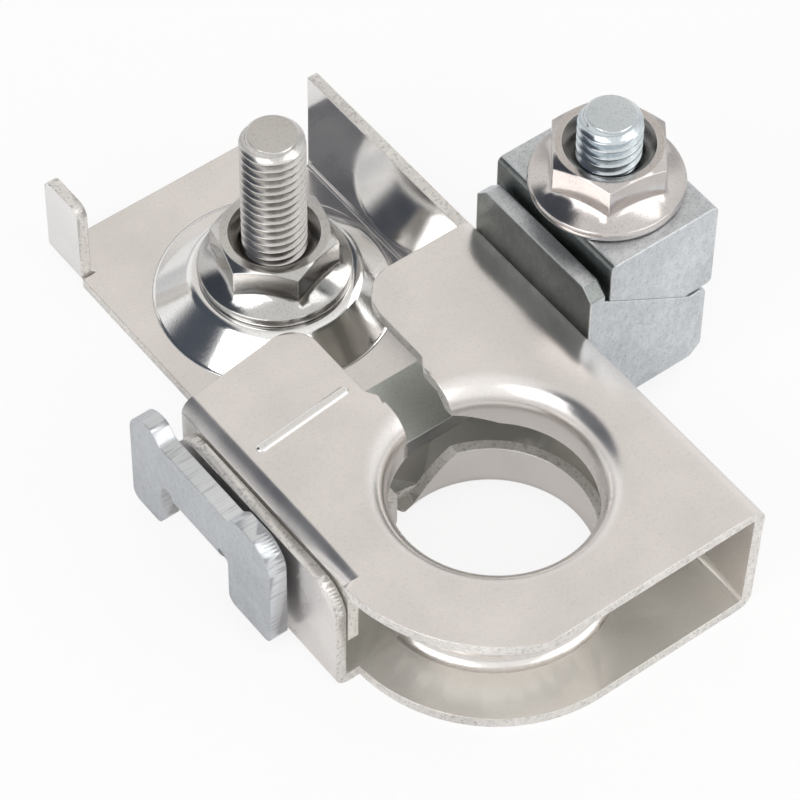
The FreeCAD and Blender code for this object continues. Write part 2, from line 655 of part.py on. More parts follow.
def flange_nut(label, place, tall, flats, flange_radius, thread, turn):
    """A hexagon nut with a conical flange, its underside in the given place."""
    body = new_body(label)
    body.Placement = FreeCAD.Placement(V(0, 0, 0), FreeCAD.Rotation(V(0, 0, 1), turn))
    carry_to(body, *place)
    flange = outline(body, label + "_flange", "XZ_Plane", [
        ("0", "0"),
        (flange_radius + " - flange_edge", "0"),
        (flange_radius, "flange_edge"),
        (flange_radius, "flange_rim - flange_edge"),
        (flange_radius + " - flange_edge", "flange_rim"),
        (flats + " / 2", "flange_rise"),
        ("0", "flange_rise"),
    ])
    turned(body, label + "_flange_turn", flange)
    corner = flats + " / 2 / cos(30)"
    hexagon = outline(body, label + "_hexagon", "XY_Plane", [
        (corner + " * cos(%d)" % angle, corner + " * sin(%d)" % angle) for angle in range(0, 360, 60)
    ])
    pad(body, label + "_hexagon_pad", hexagon, tall)
    cone = outline(body, label + "_corners", "XZ_Plane", [
        (flats + " / 2", tall),
        (corner + " + nut_chamfer", tall + " - nut_chamfer"),
        (corner + " + nut_chamfer", tall),
    ])
    turned(body, label + "_corners_cut", cone, "PartDesign::Groove")
    bore = thread + " + thread_fit"
    hole = ring(body, label + "_bore", "XY_Plane", "0", "0", bore, ("0", "0", tall))
    pocket(body, label + "_bore_cut", hole, tall)
    sink = outline(body, label + "_sink", "XZ_Plane", [
        ("0", tall + " - nut_sink"),
        (bore, tall + " - nut_sink"),
        (bore + " + nut_sink", tall),
        ("0", tall),
    ])
    turned(body, label + "_sink_cut", sink, "PartDesign::Groove")


# The draw strap and the wedge blocks

NOTCH_TOP = "(strap_low + strap_bend + strap_thick + notch_rise)"
EYE_START = "(box_right - eye_lead)"
EYE_FRONT = "(strap_y - eye_width / 2)"
EYE_BACK = "(strap_y + eye_width / 2)"
EYE_END = "(" + BOLT_X + " + eye_width / 2)"


def draw_strap():
    """The flat strap, bent up into its T-shaped head, with an eye for the wedge bolt."""
    body = new_body("draw_strap")
    run = outline(body, "strap_run", "XZ_Plane", [
        ("-" + HEAD_OUTER_FACE, "strap_low", "strap_bend + strap_thick"),
        (EYE_START + " + eye_run", "strap_low"),
        (EYE_START + " + eye_run", STRAP_TOP),
        ("-" + HEAD_INNER_FACE, STRAP_TOP, "strap_bend"),
        ("-" + HEAD_INNER_FACE, NOTCH_TOP + " + strap_thick"),
        ("-" + HEAD_OUTER_FACE, NOTCH_TOP + " + strap_thick"),
    ], ("0", "0", "-strap_y"))
    pad(body, "strap_run_pad", run, "strap_width", middle=True)
    dip_front = "strap_y - head_front + head_round + ear_front"
    dip_back = "strap_y + head_back - head_round - ear_back"
    head = outline(body, "strap_head", "YZ_Plane", [
        ("strap_y - head_front", "head_low", "leg_round"),
        ("strap_y - notch_width / 2", "head_low", "leg_round"),
        ("strap_y - notch_width / 2", NOTCH_TOP, "leg_round"),
        ("strap_y + notch_width / 2", NOTCH_TOP, "leg_round"),
        ("strap_y + notch_width / 2", "head_low", "leg_round"),
        ("strap_y + head_back", "head_low", "leg_round"),
        ("strap_y + head_back", "head_top", "head_round"),
        (dip_back, "head_top", "dip_round"),
        (dip_back + " - head_dip", "head_top - head_dip", "dip_round"),
        (dip_front + " + head_dip", "head_top - head_dip", "dip_round"),
        (dip_front, "head_top", "dip_round"),
        ("strap_y - head_front", "head_top", "head_round"),
    ], ("0", "0", "-" + HEAD_OUTER_FACE))
    pad(body, "strap_head_pad", head, "strap_thick")
    end_round = full_round("eye_width")
    eye = outline(body, "strap_eye", "XY_Plane", [
        (EYE_START, "strap_y - strap_width / 2"),
        (EYE_START + " + eye_run", EYE_FRONT),
        (EYE_END, EYE_FRONT, end_round),
        (EYE_END, EYE_BACK, end_round),
        (EYE_START + " + eye_run", EYE_BACK),
        (EYE_START, "strap_y + strap_width / 2"),
    ], ("0", "0", "strap_low"))
    pad(body, "strap_eye_pad", eye, "strap_thick")
    half = "(neck / 2 + neck_clear)"
    square = outline(body, "eye_square", "XY_Plane",
                     rectangle(BOLT_X + " - " + half, "strap_y - " + half,
                               BOLT_X + " + " + half, "strap_y + " + half),
                     ("0", "0", STRAP_TOP))
    pocket(body, "eye_square_cut", square, "strap_thick")


def lower_wedge():
    """The block against the right wall, with its lip, its ramp and the slot for the strap."""
    body = new_body("lower_wedge")
    lip_top = RAMP_START + " + lip_rise"
    side = outline(body, "lower_side", "XZ_Plane", [
        ("box_right", "block_low"),
        (BLOCK_RIGHT + " - block_chamfer", "block_low"),
        (BLOCK_RIGHT, "block_low + block_chamfer"),
        (BLOCK_RIGHT, RAMP_END, "block_round"),
        (BLOCK_RIGHT + " - ramp_foot", RAMP_END),
        ("box_right + lip", RAMP_START),
        ("box_right + lip", lip_top),
        ("box_right", lip_top),
    ], ("0", "0", "-strap_y"))
    pad(body, "lower_side_pad", side, "block_width", middle=True)
    dress(body, "lip_ends", "Chamfer", "lip_chamfer", [
        at(y="strap_y - block_width / 2", z=lip_top),
        at(y="strap_y + block_width / 2", z=lip_top),
    ])
    head_half = "(bolt_head_radius + bolt_clear)"
    eye_half = "(eye_width / 2 + strap_clear)"
    slot = outline(body, "strap_slot", "YZ_Plane", [
        ("strap_y - " + head_half, "block_low - cut_margin"),
        ("strap_y + " + head_half, "block_low - cut_margin"),
        ("strap_y + " + head_half, "strap_low - strap_clear"),
        ("strap_y + " + eye_half, "strap_low - strap_clear"),
        ("strap_y + " + eye_half, STRAP_TOP + " + strap_clear"),
        ("strap_y - " + eye_half, STRAP_TOP + " + strap_clear"),
        ("strap_y - " + eye_half, "strap_low - strap_clear"),
        ("strap_y - " + head_half, "strap_low - strap_clear"),
    ], ("0", "0", "box_right - cut_margin"))
    pocket(body, "strap_slot_cut", slot, BLOCK_RIGHT + " - box_right + 2 * cut_margin", up=True)
    long_half = "(" + BOLT_HOLE + " + draw_travel)"
    end_round = full_round("2 * " + BOLT_HOLE)
    hole = outline(body, "bolt_slot", "XY_Plane", [
        (x, y, end_round) for x, y in rectangle(BOLT_X + " - " + long_half, "strap_y - " + BOLT_HOLE,
                                                BOLT_X + " + " + long_half, "strap_y + " + BOLT_HOLE)
    ], ("0", "0", RAMP_START))
    pocket(body, "bolt_slot_cut", hole, RAMP_START + " - " + STRAP_TOP)


def upper_wedge():
    """The block that slides down the ramp under the wedge nut."""
    body = new_body("upper_wedge")
    left = "box_right + lip + lip_clear"
    right = BLOCK_RIGHT + " + wedge_over"
    foot = RAMP_END + " + foot_clear"
    side = outline(body, "upper_side", "XZ_Plane", [
        (left, RAMP_START + " + ramp_clear - lip_clear * tan(ramp_angle)"),
        (BLOCK_RIGHT + " - ramp_foot - (foot_clear - ramp_clear) / tan(ramp_angle)", foot),
        (right, foot, "block_round"),
        (right, WEDGE_TOP, "block_round"),
        (left, WEDGE_TOP, "block_round"),
    ], ("0", "0", "-strap_y"))
    pad(body, "upper_side_pad", side, "wedge_width", middle=True)
    hole = ring(body, "bolt_hole", "XY_Plane", BOLT_X, "strap_y", BOLT_HOLE, ("0", "0", WEDGE_TOP))
    pocket(body, "bolt_hole_cut", hole, WEDGE_TOP + " - " + RAMP_END)


FLAT_TO_THE_FRONT_LEFT = 15
CORNER_TO_THE_FRONT_LEFT = 52


def main():
    clamp_top()
    clamp_bottom()
    stud_plate()
    stud_dome()
    stud()
    flange_nut("stud_nut", (STUD_X, STUD_Y, "dome_height"), "stud_nut_height",
               "stud_flats", "stud_flange", "stud_radius", FLAT_TO_THE_FRONT_LEFT)
    draw_strap()
    wedge_bolt()
    lower_wedge()
    upper_wedge()
    flange_nut("wedge_nut", (BOLT_X, "strap_y", WEDGE_TOP), "wedge_nut_height",
               "wedge_flats", "wedge_flange", "bolt_radius", CORNER_TO_THE_FRONT_LEFT)
    doc.recompute()
    for item in doc.Objects:
        if "Invalid" in item.State or "Error" in item.State:
            raise RuntimeError(item.Label + " failed: " + str(item.State))
    pieces = [item for item in doc.Objects if item.TypeId == "PartDesign::Body"]
    for piece in pieces:
        if piece.Shape.isNull() or not piece.Shape.isValid() or len(piece.Shape.Solids) != 1:
            raise RuntimeError(piece.Label + " is not one sound solid")
    os.makedirs("parts", exist_ok=True)
    for piece in pieces:
        piece.Shape.exportStep("parts/%s.step" % piece.Label)
        box = piece.Shape.BoundBox
        print("%-12s %9.1f mm3  x %.2f..%.2f  y %.2f..%.2f  z %.2f..%.2f" % (
            piece.Label, piece.Shape.Volume, box.XMin, box.XMax, box.YMin, box.YMax, box.ZMin, box.ZMax))


main()
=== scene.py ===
import math

import bmesh
import bpy
from mathutils import Matrix, Vector
from mathutils.bvhtree import BVHTree


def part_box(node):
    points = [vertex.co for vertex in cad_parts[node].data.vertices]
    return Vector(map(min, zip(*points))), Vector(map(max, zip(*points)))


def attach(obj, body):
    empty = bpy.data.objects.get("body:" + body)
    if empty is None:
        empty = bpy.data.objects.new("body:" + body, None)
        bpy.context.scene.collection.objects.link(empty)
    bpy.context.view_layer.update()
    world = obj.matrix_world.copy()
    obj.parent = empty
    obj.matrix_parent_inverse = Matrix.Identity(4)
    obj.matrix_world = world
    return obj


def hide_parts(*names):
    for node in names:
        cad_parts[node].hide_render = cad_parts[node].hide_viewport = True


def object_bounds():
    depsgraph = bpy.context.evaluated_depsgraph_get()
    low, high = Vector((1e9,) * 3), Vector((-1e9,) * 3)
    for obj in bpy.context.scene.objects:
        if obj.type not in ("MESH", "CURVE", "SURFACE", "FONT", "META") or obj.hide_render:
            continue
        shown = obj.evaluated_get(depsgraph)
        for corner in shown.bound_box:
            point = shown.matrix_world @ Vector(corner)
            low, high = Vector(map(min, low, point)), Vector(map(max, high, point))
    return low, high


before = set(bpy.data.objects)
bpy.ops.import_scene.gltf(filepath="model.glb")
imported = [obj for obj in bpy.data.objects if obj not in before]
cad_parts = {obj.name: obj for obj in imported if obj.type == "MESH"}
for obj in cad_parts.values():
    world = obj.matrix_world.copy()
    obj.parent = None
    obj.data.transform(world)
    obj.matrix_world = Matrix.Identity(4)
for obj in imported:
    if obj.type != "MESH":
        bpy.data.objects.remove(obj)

# Looks of a battery terminal clamp: a folded, tin-plated sheet, two threaded pieces with
# flange nuts, a zinc-plated strap and two zinc-plated wedge blocks. Metres, in the frame
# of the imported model: the origin is on the axis of the post hole, +Z runs up along it,
# +Y back to the stud and +X to the wedge blocks.

cad_box = [list(corner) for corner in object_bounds()]

MM = 0.001

# The view: the direction of the camera in degrees, its focal length in pixels of an 800
# pixel frame, and the pixel that shows the anchor, a place in the post hole's underside.
FRAME_PIXELS = 800
SENSOR_MM = 36.0
VIEW_AZIMUTH = -37.95
VIEW_ELEVATION = 51.53
VIEW_ROLL = 0.89
FOCAL_PIXELS = 4234
CAMERA_DISTANCE = 374 * MM
CAMERA_CLIP = 10 * MM
ANCHOR = Vector((-0.5, -0.8, -7.2)) * MM
ANCHOR_PIXEL = (492.4, 583.4)

# The tent's tones by height, from 0 straight below to 1 straight above, and its tone where
# the camera looks at it directly
TENT = ((0.48, (0.95, 0.95, 0.95)), (0.51, (0.58, 0.59, 0.60)), (0.58, (0.68, 0.68, 0.68)),
        (0.66, (0.98, 0.98, 0.97)), (0.9, (0.92, 0.92, 0.91)))
TENT_SEEN = (1, 1, 1)
# The tent's round patches: the direction, the cosines at the outer edge and at the core,
# and the tone
PATCHES = (((0.38, 0.49, 0.78), 0.72, 0.97, (0.75, 0.73, 0.70)),
           ((-0.52, 0.47, 0.71), 0.86, 0.94, (0.07, 0.08, 0.10)))
# The lamps: name, place, width and power in watts. Each looks at the origin.
LAMPS = (("left", (-0.51, -0.11, 0.47), 0.45, 1.3),
         ("front", (0.27, -0.50, 0.41), 0.50, 0.8))
# The floor lies just below the clamp and looks nearly white to the camera.
FLOOR_HALF = 1.2
FLOOR_GAP = 0.02 * MM
FLOOR_TONE = (0.9, 0.9, 0.9, 1)
FLOOR_ROUGHNESS = 0.9
FLOOR_GLOW = 0.85

# Plated metal. Scales are in lumps per metre, stops are a place on the noise and a tone.
CLOUDS = 130.0
CLOUD_DETAIL = 4.0
CLOUD_FROM, CLOUD_TO = 0.3, 0.7
FINE_GRAIN = 5200.0
MIDDLE_GRAIN = 4200.0
COARSE_GRAIN = 3600.0
GRAIN_DETAIL = 2.0
GRAIN_STOPS = ((0.34, 0.55), (0.46, 1.0))
GRAIN_DEPTH = 0.03 * MM
MOTTLES = 1300.0
MOTTLE_DETAIL = 3.0
MOTTLE_STRETCH = (1, 1, 0.5)
MOTTLE_ROUGHNESS = 0.7
MOTTLE_STOPS = ((0.35, 0.72), (0.65, 1.0))
WORN_FROM, WORN_TO = 0.008, 0.06
WORN_TONE = (0.86, 0.87, 0.88)
EDGE_SAMPLES = 6

# The top plate leans to its left and right folds in its shading. For each side: where that
# starts and where it is full, outward from the hole's axis, how far it goes, and the lean
# sideways and upright. The left fold sets in over LEFT_FRONT, from front to back. Faces
# above TOP_FROM that look up by more than FACING_UP belong to the plate.
LEFT_DRAW = (15.0 * MM, 17.0 * MM)
LEFT_MOST = 0.85
LEFT_LEAN = (-0.64, 0.77)
LEFT_FRONT = (-3.0 * MM, 5.0 * MM)
RIGHT_DRAW = (12.4 * MM, 15.6 * MM)
RIGHT_MOST = 0.8
RIGHT_LEAN = (0.30, 0.954)
TOP_FROM = 5.5 * MM
FACING_UP = 0.1

# Sheet metal: from a flat face a ray into the metal meets the far face within SHEET_REACH,
# from a sheared edge it runs further. From a face inside the folded box a ray outward
# meets the sheet again within INSIDE_REACH. Rays start just off their face.
RAY_START = 0.01 * MM
RAY_LENGTH = 1.0
SHEET_REACH = 1.5 * MM
INSIDE_REACH = 34.0 * MM
SHEET_WELD = 0.0005 * MM
SHEET_FOLD = 30

# What tells the faces apart that get a material of their own. Places: the rear wall is
# behind REAR_FROM, the collars' bores are within BORE_UNTIL of the hole's axis, the strap's
# head is left of HEAD_UNTIL, the lower block's lip left of LIP_UNTIL. Directions, as shares
# of a face's normal: the rear wall's inside, the strap's long edges, its head's edges, a
# block's left side and its lip's sloping front.
REAR_FROM = 24.5 * MM
BORE_UNTIL = 9.8 * MM
HEAD_UNTIL = -18.0 * MM
LIP_UNTIL = 19.0 * MM
REAR_INWARD = 0.9
LONG_EDGE = 0.5
HEAD_EDGE = 0.3
SIDE_LEFT = 0.45
LIP_SLOPE = 0.3

# The dome's section: the sheet's thickness on top, its outer radii at the base and at the
# top, the rounds of shoulder and foot, how far the foot sinks before its skirt drops, the
# wall's thickness and the bore
DOME_SHEET = 1.1 * MM
DOME_BASE = 11.25 * MM
DOME_TOP = 7.8 * MM
DOME_ROUND = 1.8 * MM
DOME_FOOT = 0.5 * MM
DOME_SINK = 0.05 * MM
DOME_WALL = 0.3 * MM
DOME_BORE = 3.15 * MM
DOME_BENDS = 12
DOME_STEPS = 160
DOME_FOLD = 30

# M6 thread. The profile gives places along one pitch and shares of the depth: crest, flank,
# root, flank. A flat lid closes the thread just above its last ring.
PITCH = 1.0 * MM
THREAD_DEPTH = 0.58 * MM
THREAD_CHAMFER = 0.8 * MM
THREAD_STEPS = 64
THREAD_PROFILE = ((0.0, 0.0), (0.125, 0.0), (0.44, 1.0), (0.69, 1.0))
THREAD_WELD = 0.002 * MM
THREAD_FOLD = 25
LID_LIFT = 0.01 * MM

# Flange nuts: the height of the rim and of the cone at the flats, and the depth of the
# mouth. The rim's section is in millimetres in from its edge and up from its foot, the
# mouth's is out from the bore and down from the top.
NUT_RIM = 1.15 * MM
NUT_RISE = 2.2 * MM
NUT_SINK = 1.2 * MM
RIM_SECTION = ((0.5, 0.0), (0.12, 0.15), (0.0, 0.4), (0.0, 0.8), (0.12, 1.07), (0.45, 1.23))
MOUTH_SECTION = ((1.2, 0.0), (0.15, 1.2), (0.0, 1.3))
CONE_INSET = 0.3 * MM
CONE_FOOT = 0.35 * MM
CONE_LIFT = 0.2 * MM
# The corners drop by this share of their reach past the flats, then the top eases in.
CORNER_DROP = 0.5
TOP_DROP = 0.1 * MM
TOP_INSET = 0.12 * MM
NUT_STEPS = 120
NUT_FOLD = 28

# Wedge blocks: the round of the edges. Angles in degrees: faces this flat are joined, and
# edges this sharp are rounded.
BLOCK_ROUND = 0.28 * MM
BLOCK_SEGMENTS = 3
BLOCK_FLAT = 1
BLOCK_SHARP = 25
BLOCK_WELD = 0.001 * MM
BLOCK_FOLD = 32

# The low rib on the left lobe
RIB_ENDS = (Vector((-14.3, 14.5, 7.2)) * MM, Vector((-4.9, 15.3, 7.2)) * MM)
RIB_HALF_WIDTH = 0.5 * MM
RIB_RISE = 0.24 * MM
RIB_RINGS = 8
RIB_STEPS = 48
RIB_WELD = 0.001 * MM


def linked(name, data):
    """A new object in the scene."""
    thing = bpy.data.objects.new(name, data)
    bpy.context.collection.objects.link(thing)
    return thing


def place_camera():
    """Puts the camera where the photograph was taken from."""
    azimuth, elevation, roll = (math.radians(angle)
                                for angle in (VIEW_AZIMUTH, VIEW_ELEVATION, VIEW_ROLL))
    back = Vector((math.sin(azimuth) * math.cos(elevation),
                   -math.cos(azimuth) * math.cos(elevation), math.sin(elevation)))
    level = Vector((math.cos(azimuth), math.sin(azimuth), 0))
    upright = back.cross(level)
    across = level * math.cos(roll) + upright * math.sin(roll)
    rise = upright * math.cos(roll) - level * math.sin(roll)
    middle = FRAME_PIXELS / 2
    shift_x = (ANCHOR_PIXEL[0] - middle) / FOCAL_PIXELS * CAMERA_DISTANCE
    shift_y = (middle - ANCHOR_PIXEL[1]) / FOCAL_PIXELS * CAMERA_DISTANCE
    data = bpy.data.cameras.new("camera")
    data.sensor_width = SENSOR_MM
    data.lens = FOCAL_PIXELS / FRAME_PIXELS * SENSOR_MM
    data.clip_start = CAMERA_CLIP
    camera = linked("camera", data)
    turn = Matrix((across, rise, back)).transposed().to_4x4()
    place = ANCHOR - across * shift_x - rise * shift_y + back * CAMERA_DISTANCE
    camera.matrix_world = Matrix.Translation(place) @ turn
    bpy.context.scene.camera = camera


# Shader pieces

def node_tree(name):
    """A new material with its principled shader."""
    material = bpy.data.materials.new(name)
    material.use_nodes = True
    return material, material.node_tree, material.node_tree.nodes["Principled BSDF"]


def feed(tree, socket, value):
    """Sets an input, or links it where the value is a socket."""
    if isinstance(value, bpy.types.NodeSocket):
        tree.links.new(value, socket)
    else:
        socket.default_value = value


def add(tree, kind, **inputs):
    """A node with these inputs set or linked. An underscore stands for a space."""
    node = tree.nodes.new(kind)
    for name, value in inputs.items():
        feed(tree, node.inputs[name.replace("_", " ")], value)
    return node


def sums(tree, kind, first, second):
    """One step of arithmetic on two sockets or numbers."""
    node = add(tree, "ShaderNodeMath")
    node.operation = kind
    for socket, value in zip(node.inputs, (first, second)):
        feed(tree, socket, value)
    return node.outputs[0]


def vector(tree, kind, first, second=None):
    """One step of arithmetic on vectors. What SCALE takes second is a number."""
    node = add(tree, "ShaderNodeVectorMath")
    node.operation = kind
    feed(tree, node.inputs[0], first)
    if second is not None:
        feed(tree, node.inputs["Scale" if kind == "SCALE" else 1], second)
    return node.outputs["Value" if kind == "DOT_PRODUCT" else "Vector"]


def ramp(tree, factor, stops):
    """A colour ramp over a factor. Each stop is a place and a gray or a colour."""
    node = add(tree, "ShaderNodeValToRGB", Fac=factor)
    elements = node.color_ramp.elements
    while len(elements) < len(stops):
        elements.new(0.5)
    for element, (place, tone) in zip(elements, stops):
        element.position = place
        colour = (tone, tone, tone) if isinstance(tone, float) else tone
        element.color = (*colour, 1.0)
    return node.outputs["Color"]


def mix(tree, factor, first, second, kind="MIX"):
    """Two colours mixed by a factor. A mix node takes colours at its sockets 6 and 7 and
    gives one at its output 2."""
    node = add(tree, "ShaderNodeMix")
    node.data_type = "RGBA"
    node.blend_type = kind
    feed(tree, node.inputs[0], factor)
    for index, value in ((6, first), (7, second)):
        plain = not isinstance(value, bpy.types.NodeSocket)
        feed(tree, node.inputs[index], (*value, 1.0) if plain else value)
    return node.outputs[2]


def noise(tree, scale, detail, stretch, roughness=0.5):
    """Noise over the place on the object, scale in lumps per metre."""
    place = add(tree, "ShaderNodeTexCoord").outputs["Object"]
    mapping = add(tree, "ShaderNodeMapping", Vector=place, Scale=stretch)
    texture = add(tree, "ShaderNodeTexNoise", Vector=mapping.outputs["Vector"], Scale=scale,
                  Detail=detail, Roughness=roughness)
    return texture.outputs["Fac"]


def eased(tree, value, low, high, most=1.0):
    """Rises smoothly from 0 to a number as the value goes from low to high."""
    node = add(tree, "ShaderNodeMapRange", Value=value, From_Min=low, From_Max=high, To_Max=most)
    node.interpolation_type = "SMOOTHSTEP"
    return node.outputs["Result"]


def leaned(tree, normal):
    """The normal of the top plate, leaning outward where the plate draws down to its folds."""
    place = add(tree, "ShaderNodeTexCoord").outputs["Object"]
    split = add(tree, "ShaderNodeSeparateXYZ", Vector=place)
    facing = add(tree, "ShaderNodeSeparateXYZ", Vector=normal)
    upward = sums(tree, "GREATER_THAN", facing.outputs["Z"], FACING_UP)
    above = sums(tree, "GREATER_THAN", split.outputs["Z"], TOP_FROM)
    outer = sums(tree, "MULTIPLY", upward, above)
    behind = eased(tree, split.outputs["Y"], *LEFT_FRONT)
    leftward = sums(tree, "MULTIPLY", split.outputs["X"], -1.0)
    left = sums(tree, "MULTIPLY", eased(tree, leftward, *LEFT_DRAW, LEFT_MOST), behind)
    right = eased(tree, split.outputs["X"], *RIGHT_DRAW, RIGHT_MOST)
    for side, (sideways, upright) in ((left, LEFT_LEAN), (right, RIGHT_LEAN)):
        share = sums(tree, "MULTIPLY", side, outer)
        push = add(tree, "ShaderNodeCombineXYZ", X=sums(tree, "MULTIPLY", share, sideways),
                   Z=sums(tree, "MULTIPLY", share, upright))
        kept = vector(tree, "SCALE", normal, sums(tree, "SUBTRACT", 1.0, share))
        normal = vector(tree, "ADD", kept, push.outputs["Vector"])
    return vector(tree, "NORMALIZE", normal)


def plated(name, tones, roughness, grain, relief, edge, dots=0.3, wear=0.0, metal=1.0,
           drawn=False, mottle=0.0, stretch=(1, 1, 1)):
    """Plated metal: two tones in soft clouds, small mottles, a fine grain in colour and
    relief, and edges that are rounded, and bright where they are worn."""
    material, tree, shader = node_tree(name)
    clouds = noise(tree, CLOUDS, CLOUD_DETAIL, stretch)
    fine = noise(tree, grain, GRAIN_DETAIL, stretch)
    base = ramp(tree, clouds, ((CLOUD_FROM, tones[0]), (CLOUD_TO, tones[1])))
    base = mix(tree, dots, base, ramp(tree, fine, GRAIN_STOPS), "MULTIPLY")
    if mottle:
        lumps = noise(tree, MOTTLES, MOTTLE_DETAIL, MOTTLE_STRETCH, MOTTLE_ROUGHNESS)
        base = mix(tree, mottle, base, ramp(tree, lumps, MOTTLE_STOPS), "MULTIPLY")
    rounded = add(tree, "ShaderNodeBevel", Radius=edge)
    rounded.samples = EDGE_SAMPLES
    normal = rounded.outputs["Normal"]
    if wear:
        flat = add(tree, "ShaderNodeNewGeometry").outputs["Normal"]
        off = sums(tree, "SUBTRACT", 1.0, vector(tree, "DOT_PRODUCT", normal, flat))
        rubbed = ramp(tree, sums(tree, "MULTIPLY", off, clouds),
                      ((WORN_FROM, 0.0), (WORN_TO, wear)))
        base = mix(tree, rubbed, base, WORN_TONE)
    if drawn:
        normal = leaned(tree, normal)
    rough = ramp(tree, clouds, ((CLOUD_FROM, roughness[0]), (CLOUD_TO, roughness[1])))
    bump = add(tree, "ShaderNodeBump", Height=fine, Normal=normal, Strength=relief,
               Distance=GRAIN_DEPTH)
    for socket, value in (("Metallic", metal), ("Base Color", base), ("Roughness", rough),
                          ("Normal", bump.outputs["Normal"])):
        feed(tree, shader.inputs[socket], value)
    return material


# Studio

def build_tent():
    """A bright tent with two round patches, white where the camera sees it directly."""
    world = bpy.data.worlds.new("studio")
    bpy.context.scene.world = world
    world.use_nodes = True
    tree = world.node_tree
    place = add(tree, "ShaderNodeTexCoord").outputs["Generated"]
    split = add(tree, "ShaderNodeSeparateXYZ", Vector=place)
    height = add(tree, "ShaderNodeMapRange", Value=split.outputs["Z"], From_Min=-1.0)
    sky = ramp(tree, height.outputs["Result"], TENT)
    for toward, edge, core, tone in PATCHES:
        along = vector(tree, "DOT_PRODUCT", place, Vector(toward).normalized())
        sky = mix(tree, eased(tree, along, edge, core), sky, tone)
    direct = add(tree, "ShaderNodeLightPath").outputs["Is Camera Ray"]
    feed(tree, tree.nodes["Background"].inputs["Color"], mix(tree, direct, sky, TENT_SEEN))


def lay_floor():
    """A pale floor that glows for the camera, so that little but the shadows shows on it."""
    mesh = bpy.data.meshes.new("floor")
    half = FLOOR_HALF
    mesh.from_pydata([(-half, -half, 0), (half, -half, 0), (half, half, 0), (-half, half, 0)],
                     [], [(0, 1, 2, 3)])
    floor = linked("floor", mesh)
    floor.location.z = cad_box[0][2] - FLOOR_GAP
    material, tree, shader = node_tree("floor")
    shader.inputs["Base Color"].default_value = FLOOR_TONE
    shader.inputs["Roughness"].default_value = FLOOR_ROUGHNESS
    glow = add(tree, "ShaderNodeEmission", Color=(1, 1, 1, 1), Strength=1.0)
    direct = add(tree, "ShaderNodeLightPath").outputs["Is Camera Ray"]
    blend = add(tree, "ShaderNodeMixShader", Fac=sums(tree, "MULTIPLY", direct, FLOOR_GLOW))
    feed(tree, blend.inputs[1], shader.outputs[0])
    feed(tree, blend.inputs[2], glow.outputs[0])
    feed(tree, tree.nodes["Material Output"].inputs["Surface"], blend.outputs[0])
    floor.data.materials.append(material)


def hang_lamps():
    """Two soft lamps."""
    for name, place, width, power in LAMPS:
        data = bpy.data.lights.new(name, "AREA")
        data.size = width
        data.energy = power
        lamp = linked(name, data)
        lamp.location = place
        lamp.rotation_euler = (-Vector(place)).to_track_quat("-Z", "Y").to_euler()


# Meshes

def finished(work, name):
    """The mesh of a piece of work."""
    mesh = bpy.data.meshes.new(name)
    work.to_mesh(mesh)
    work.free()
    return mesh


def welded(node):
    """A copy of a node's mesh with its corners merged."""
    work = bmesh.new()
    work.from_mesh(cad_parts[node].data)
    bmesh.ops.remove_doubles(work, verts=work.verts[:], dist=SHEET_WELD)
    return finished(work, node + "_welded")


def joined(nodes):
    """One mesh of nodes that meet face to face, without the faces where they meet."""
    pieces = [linked(node + "_part", welded(node)) for node in nodes]
    for other in pieces[1:]:
        union = pieces[0].modifiers.new(other.name, "BOOLEAN")
        union.operation = "UNION"
        union.solver = "EXACT"
        union.object = other
    bpy.context.view_layer.update()
    depsgraph = bpy.context.evaluated_depsgraph_get()
    mesh = bpy.data.meshes.new_from_object(pieces[0].evaluated_get(depsgraph))
    for piece in pieces:
        bpy.data.objects.remove(piece)
    return mesh


def extent(node):
    """The middle, the low corner and the high corner of a node's box."""
    low, high = (Vector(corner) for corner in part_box(node))
    return (low + high) / 2, low, high


def around(centre, radius, angle, height):
    """A place at a radius and an angle about an upright axis."""
    return centre.x + radius * math.cos(angle), centre.y + radius * math.sin(angle), height


def lathed(name, centre, sections, falling=False):
    """A closed body about an upright axis. Each section is an angle and a ring of radii and
    heights, which rises on the outside, or falls there."""
    work = bmesh.new()
    columns = [[work.verts.new(around(centre, radius, angle, height))
                for radius, height in section] for angle, section in sections]
    for column, after in zip(columns, columns[1:] + columns[:1]):
        for index in range(len(column)):
            other = (index + 1) % len(column)
            corners = (column[index], after[index], after[other], column[other])
            work.faces.new(corners[::-1] if falling else corners)
    return finished(work, name)


def ray_target(mesh):
    """What rays are cast at to find the faces of a mesh."""
    return BVHTree.FromPolygons([vertex.co for vertex in mesh.vertices],
                                [polygon.vertices for polygon in mesh.polygons])


def soft_shaded(mesh, angle):
    """Smooth shading that stops at folds sharper than an angle in degrees."""
    mesh.polygons.foreach_set("use_smooth", [True] * len(mesh.polygons))
    mesh.set_sharp_from_angle(angle=math.radians(angle))


def coated(mesh, materials, chosen):
    """Gives a mesh its materials, and each of its faces the one at the chosen index."""
    mesh.materials.clear()
    for material in materials:
        mesh.materials.append(material)
    for polygon, index in zip(mesh.polygons, chosen):
        polygon.material_index = index


# Which face gets which material

def sheared(mesh):
    """Tells the sheared edges of a sheet from its faces by the metal's depth behind them."""
    tree = ray_target(mesh)
    found = []
    for polygon in mesh.polygons:
        inward = -polygon.normal
        depth = tree.ray_cast(polygon.center + inward * RAY_START, inward, RAY_LENGTH)[3]
        found.append(depth is None or depth > SHEET_REACH)
    return found


